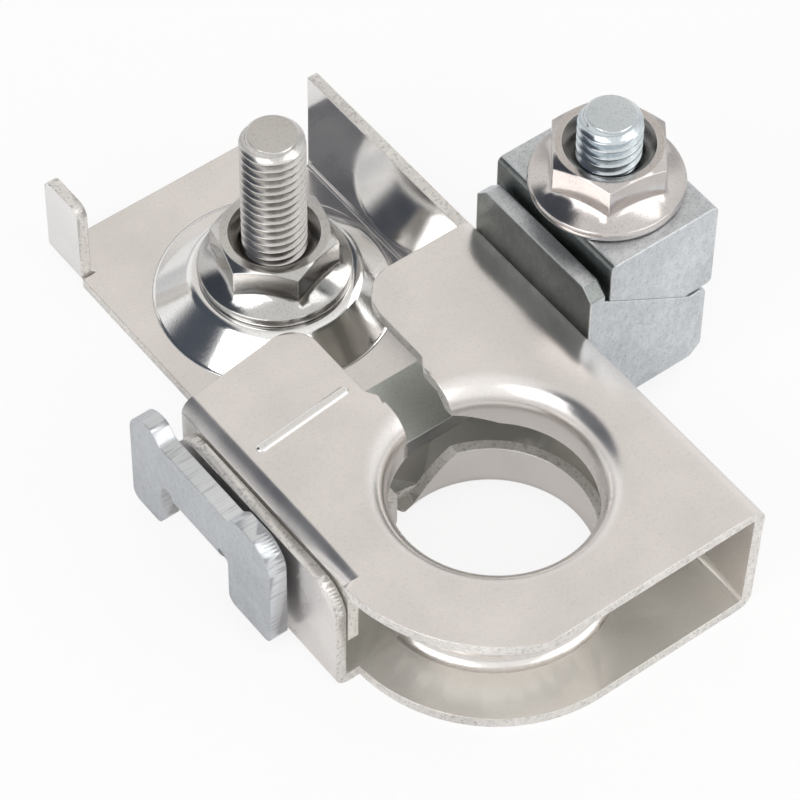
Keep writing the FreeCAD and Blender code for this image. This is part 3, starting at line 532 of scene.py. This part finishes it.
def clamp_faces(mesh):
    """Edges get the second material, the inside of the rear wall the third, and the faces inside
    the folded box the fourth, a lighter and less metallic tin that is painted light."""
    tree = ray_target(mesh)
    found = []
    for polygon, edge in zip(mesh.polygons, sheared(mesh)):
        centre, outward = polygon.center, polygon.normal
        if edge:
            found.append(1)
        elif centre.y > REAR_FROM:
            found.append(2 if outward.x < -REAR_INWARD else 0)
        else:
            faced = tree.ray_cast(centre + outward * RAY_START, outward, INSIDE_REACH)[0]
            found.append(3 if faced and math.hypot(centre.x, centre.y) > BORE_UNTIL else 0)
    return found


def strap_faces(mesh):
    """The strap's sheared rim gets the second material, and its run in the box the third, a zinc
    with its own tint and gloss that is a painted reflection.
    """
    found = []
    for polygon in mesh.polygons:
        facing, head = polygon.normal, polygon.center.x < HEAD_UNTIL
        rim = abs(facing.y) > LONG_EDGE or (head and abs(facing.x) < HEAD_EDGE)
        found.append(1 if rim else 0 if head else 2)
    return found


def block_faces(mesh):
    """A block's left side and the sloping front of its lip get the second material, painted
    shade.
    """
    found = []
    for polygon in mesh.polygons:
        facing = polygon.normal
        slope = facing.y < -LIP_SLOPE and facing.z > LIP_SLOPE
        front = slope and polygon.center.x < LIP_UNTIL
        found.append(1 if facing.x < -SIDE_LEFT or front else 0)
    return found


# Pieces

def stand_in(name, mesh, nodes, body):
    """A new piece that stands for nodes and rides on their body, with the nodes hidden."""
    piece = linked(name, mesh)
    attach(piece, body)
    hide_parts(*nodes)
    return piece


def evened(piece):
    """Weighs the normals by the faces' areas, so that flat faces look flat."""
    even = piece.modifiers.new("even", "WEIGHTED_NORMAL")
    even.keep_sharp = True


def sheet_metal(name, nodes, body, materials, choose):
    """A bent sheet of one or more nodes. The choice gives each of its faces a material."""
    mesh = joined(nodes) if len(nodes) > 1 else welded(nodes[0])
    coated(mesh, materials, choose(mesh))
    soft_shaded(mesh, SHEET_FOLD)
    evened(stand_in(name, mesh, nodes, body))


def threaded(node, body, radius, cut, material):
    """A copy of a bolt, its shank above a height made as a screw thread."""
    centre, _, high = extent(node)
    top = high.z
    work = bmesh.new()
    work.from_mesh(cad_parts[node].data)
    bmesh.ops.bisect_plane(work, geom=work.verts[:] + work.edges[:] + work.faces[:],
                           plane_co=(0, 0, cut), plane_no=(0, 0, 1), clear_outer=True)
    rows = []
    for turn in range(-1, int((top - cut) / PITCH) + 2):
        for place, depth in THREAD_PROFILE:
            row = []
            for step in range(THREAD_STEPS + 1):
                share = step / THREAD_STEPS
                height = min(top - LID_LIFT, max(cut, cut + (turn + place + share) * PITCH))
                reach = min(radius - THREAD_DEPTH * depth,
                            radius + top - THREAD_CHAMFER - height)
                row.append(work.verts.new(around(centre, reach, 2 * math.pi * share, height)))
            rows.append(row)
    for lower, upper in zip(rows, rows[1:]):
        for step in range(THREAD_STEPS):
            work.faces.new((lower[step], lower[step + 1], upper[step + 1], upper[step]))
    bmesh.ops.remove_doubles(work, verts=work.verts[:], dist=THREAD_WELD)
    lid = radius - THREAD_CHAMFER + LID_LIFT
    work.faces.new([work.verts.new(around(centre, lid, 2 * math.pi * step / THREAD_STEPS, top))
                    for step in range(THREAD_STEPS)])
    mesh = finished(work, node + "_thread")
    soft_shaded(mesh, THREAD_FOLD)
    mesh.materials.append(material)
    stand_in(node + "_threaded", mesh, [node], body)


def nut(node, body, flats, turn, bore, material, shade):
    """A flange nut: flat-sided above, a cone below that ends in an upright rim. It is turned by
    an angle in degrees, and its sunk mouth has painted shade."""
    centre, low, high = extent(node)
    foot, top = low.z, high.z
    reach = (high.x - low.x) / 2
    half = flats / 2
    cone = reach - CONE_INSET
    slope = (NUT_RISE - NUT_RIM) / (cone - half)
    sections = []
    for step in range(NUT_STEPS):
        share = step / NUT_STEPS
        off = (share * 6 + 0.5) % 1 - 0.5
        side = half / math.cos(abs(off) * math.pi / 3 - math.pi / 6)
        section = [(bore, foot)]
        section += [(reach - inset * MM, foot + rise * MM) for inset, rise in RIM_SECTION]
        section += [(side + CONE_FOOT, foot + NUT_RIM + slope * (cone - side - CONE_FOOT)),
                    (side, foot + NUT_RIM + slope * (cone - side) + CONE_LIFT),
                    (side, top - (side - half) * CORNER_DROP - TOP_DROP),
                    (half - TOP_INSET, top)]
        section += [(bore + out * MM, top - depth * MM) for out, depth in MOUTH_SECTION]
        sections.append((2 * math.pi * share + math.radians(turn), section))
    mesh = lathed(node + "_detailed", centre, sections)
    soft_shaded(mesh, NUT_FOLD)
    # The mouth's faces get the second material, painted shade.
    chosen = []
    for polygon in mesh.polygons:
        spread = math.hypot(polygon.center.x - centre.x, polygon.center.y - centre.y)
        mouth = spread < bore + NUT_SINK and polygon.center.z > foot + NUT_RISE
        chosen.append(1 if mouth else 0)
    coated(mesh, [material, shade], chosen)
    evened(stand_in(node + "_detailed", mesh, [node], body))


def dome(node, body, material):
    """The drawn dome, turned about the stud's axis, with a soft shoulder and foot."""
    centre, low, high = extent(node)
    foot, top = low.z, high.z
    face = foot + DOME_SHEET
    slope = math.atan2(top - face, DOME_BASE - DOME_TOP)
    section = [(DOME_BORE, top)]
    for step in range(DOME_BENDS + 1):
        angle = slope * step / DOME_BENDS
        section.append((DOME_TOP - DOME_ROUND * (math.tan(slope / 2) - math.sin(angle)),
                        top - DOME_ROUND * (1 - math.cos(angle))))
    for step in range(DOME_BENDS + 1):
        angle = slope * (1 - step / DOME_BENDS)
        section.append((DOME_BASE + DOME_FOOT * (math.tan(slope / 2) - math.sin(angle)),
                        face + DOME_FOOT * (1 - math.cos(angle))))
    section += [(DOME_BASE, face - DOME_SINK), (DOME_BASE, foot), (DOME_BASE - DOME_WALL, foot),
                (DOME_TOP - DOME_WALL, top - DOME_SHEET), (DOME_BORE, top - DOME_SHEET)]
    sections = [(2 * math.pi * step / DOME_STEPS, section) for step in range(DOME_STEPS)]
    mesh = lathed(node + "_drawn", centre, sections, falling=True)
    soft_shaded(mesh, DOME_FOLD)
    mesh.materials.append(material)
    stand_in(node + "_drawn", mesh, [node], body)


def block(node, body, material, shade):
    """A copy of a wedge block with its edges softly rounded. Its left side and any sloping lip
    front have painted shade, a darker second material.
    """
    work = bmesh.new()
    work.from_mesh(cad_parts[node].data)
    bmesh.ops.remove_doubles(work, verts=work.verts[:], dist=BLOCK_WELD)
    bmesh.ops.dissolve_limit(work, angle_limit=math.radians(BLOCK_FLAT), verts=work.verts[:],
                             edges=work.edges[:])
    sharp = [edge for edge in work.edges
             if edge.is_manifold and edge.calc_face_angle() > math.radians(BLOCK_SHARP)]
    bmesh.ops.bevel(work, geom=sharp, offset=BLOCK_ROUND, offset_type="OFFSET",
                    segments=BLOCK_SEGMENTS, profile=0.5, affect="EDGES", clamp_overlap=True)
    mesh = finished(work, node + "_rounded")
    soft_shaded(mesh, BLOCK_FOLD)
    coated(mesh, [material, shade], block_faces(mesh))
    evened(stand_in(node + "_block", mesh, [node], body))


def rib(body, material):
    """The low raised line across the left lobe, a half round with round ends."""
    first, last = RIB_ENDS
    along = (last - first).normalized()
    side = Vector((-along.y, along.x, 0))
    work = bmesh.new()
    rows = []
    for ring in range(RIB_RINGS + 1):
        lean = math.pi / 2 * ring / RIB_RINGS
        row = []
        for step in range(RIB_STEPS):
            angle = 2 * math.pi * step / RIB_STEPS
            end = last if math.cos(angle) > 0 else first
            flat = along * math.cos(angle) + side * math.sin(angle)
            row.append(work.verts.new(end + flat * RIB_HALF_WIDTH * math.cos(lean)
                                      + Vector((0, 0, RIB_RISE * math.sin(lean)))))
        rows.append(row)
    for lower, upper in zip(rows, rows[1:]):
        for step in range(RIB_STEPS):
            after = (step + 1) % RIB_STEPS
            work.faces.new((lower[step], lower[after], upper[after], upper[step]))
    bmesh.ops.remove_doubles(work, verts=work.verts[:], dist=RIB_WELD)
    mesh = finished(work, "lobe_rib")
    mesh.polygons.foreach_set("use_smooth", [True] * len(mesh.polygons))
    mesh.materials.append(material)
    piece = linked("lobe_rib", mesh)
    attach(piece, body)


place_camera()
build_tent()
lay_floor()
hang_lamps()

# The two tones are those of the dark and the light clouds, and so are the two roughnesses.
# The shades are painted shade, the strap's run is a painted reflection and the inside of the box
# is painted light.
TIN = plated("tin_plate", tones=((0.81, 0.775, 0.755), (0.91, 0.87, 0.845)),
             roughness=(0.20, 0.30), grain=FINE_GRAIN, relief=0.12, edge=0.14 * MM,
             dots=0.12, metal=0.95, drawn=True)
# Painted light: the inside of the folded box is lighter and less metallic than the outside, as
# if lit by light bouncing around in it.
TIN_INSIDE_PAINTED_LIGHT = plated("tin_inside_painted_light", tones=((0.86, 0.835, 0.79), (0.93, 0.91, 0.865)),
                    roughness=(0.16, 0.26), grain=MIDDLE_GRAIN, relief=0.08, edge=0.14 * MM,
                    dots=0.08, metal=0.7)
DOME_TIN = plated("tin_drawn", tones=((0.86, 0.85, 0.84), (0.93, 0.92, 0.91)),
                  roughness=(0.08, 0.15), grain=MIDDLE_GRAIN, relief=0.10, edge=0.1 * MM,
                  dots=0.15)
TIN_EDGE = plated("tin_sheared", tones=((0.76, 0.73, 0.70), (0.93, 0.90, 0.87)),
                  roughness=(0.35, 0.5), grain=COARSE_GRAIN, relief=0.8, edge=0.12 * MM,
                  dots=0.6, metal=0.7, mottle=0.5)
ZINC = plated("zinc_strap", tones=((0.55, 0.57, 0.60), (0.65, 0.67, 0.70)),
              roughness=(0.38, 0.5), grain=MIDDLE_GRAIN, relief=0.4, edge=0.2 * MM,
              metal=0.9, mottle=0.3)
ZINC_EDGE = plated("zinc_sheared", tones=((0.64, 0.66, 0.69), (0.80, 0.82, 0.84)),
                   roughness=(0.32, 0.45), grain=FINE_GRAIN, relief=0.7, edge=0.2 * MM,
                   dots=0.5, stretch=(0.06, 1, 1))
# Painted reflection: the strap's run in the box gets its own tint and gloss for what it reflects
# there.
ZINC_RUN_PAINTED_REFLECTION = plated("zinc_strap_run_painted_reflection", tones=((0.58, 0.62, 0.60), (0.70, 0.73, 0.71)),
                  roughness=(0.30, 0.40), grain=MIDDLE_GRAIN, relief=0.3, edge=0.15 * MM)
BLOCK = plated("zinc_block", tones=((0.63, 0.66, 0.69), (0.80, 0.83, 0.86)),
               roughness=(0.30, 0.44), grain=FINE_GRAIN, relief=0.9, edge=0.25 * MM,
               dots=0.45, wear=0.9, mottle=0.5)
# Painted shade: a dark copy of the block zinc for the blocks' left sides and the lip's sloping
# front.
BLOCK_SHADE = plated("zinc_block_shade", tones=((0.24, 0.26, 0.25), (0.38, 0.40, 0.39)),
                     roughness=(0.30, 0.42), grain=FINE_GRAIN, relief=0.9, edge=0.25 * MM,
                     dots=0.45, wear=0.8, mottle=0.6)
STEEL = plated("stud_steel", tones=((0.56, 0.54, 0.52), (0.68, 0.66, 0.64)),
               roughness=(0.16, 0.26), grain=FINE_GRAIN, relief=0.08, edge=0.06 * MM, dots=0.25)
BRIGHT = plated("bolt_zinc", tones=((0.60, 0.66, 0.70), (0.74, 0.79, 0.82)),
                roughness=(0.14, 0.24), grain=FINE_GRAIN, relief=0.1, edge=0.06 * MM)
STUD_NUT = plated("stud_nut_steel", tones=((0.50, 0.49, 0.48), (0.66, 0.65, 0.63)),
                  roughness=(0.10, 0.18), grain=FINE_GRAIN, relief=0.10, edge=0.18 * MM,
                  dots=0.25, wear=0.7)
WEDGE_NUT = plated("wedge_nut_nickel", tones=((0.56, 0.52, 0.50), (0.70, 0.66, 0.64)),
                   roughness=(0.10, 0.18), grain=FINE_GRAIN, relief=0.10, edge=0.18 * MM,
                   dots=0.25, wear=0.7)
# Painted shade: the nuts' sunk mouths are dark.
NUT_SHADE = plated("nut_mouth_painted_shade", tones=((0.24, 0.23, 0.22), (0.40, 0.38, 0.36)),
                   roughness=(0.16, 0.26), grain=FINE_GRAIN, relief=0.10, edge=0.10 * MM,
                   dots=0.25)

sheet_metal("clamp_sheet", ["clamp_top", "clamp_bottom", "stud_plate"], "clamp",
            [TIN, TIN_EDGE, DOME_TIN, TIN_INSIDE_PAINTED_LIGHT], clamp_faces)
sheet_metal("strap_metal", ["draw_strap"], "strap",
            [ZINC, ZINC_EDGE, ZINC_RUN_PAINTED_REFLECTION], strap_faces)
dome("stud_dome", "clamp", DOME_TIN)
threaded("stud", "clamp", radius=3.05 * MM, cut=-3.1 * MM, material=STEEL)
threaded("wedge_bolt", "strap", radius=2.95 * MM, cut=0.8 * MM, material=BRIGHT)
block("lower_wedge", "clamp", BLOCK, BLOCK_SHADE)
block("upper_wedge", "wedge", BLOCK, BLOCK_SHADE)
nut("stud_nut", "stud_nut", flats=10.4 * MM, turn=15, bore=3.1 * MM,
    material=STUD_NUT, shade=NUT_SHADE)
nut("wedge_nut", "wedge_nut", flats=10.0 * MM, turn=52, bore=3.0 * MM,
    material=WEDGE_NUT, shade=NUT_SHADE)
rib("clamp", DOME_TIN)

bpy.context.scene.view_settings.view_transform = "Standard"
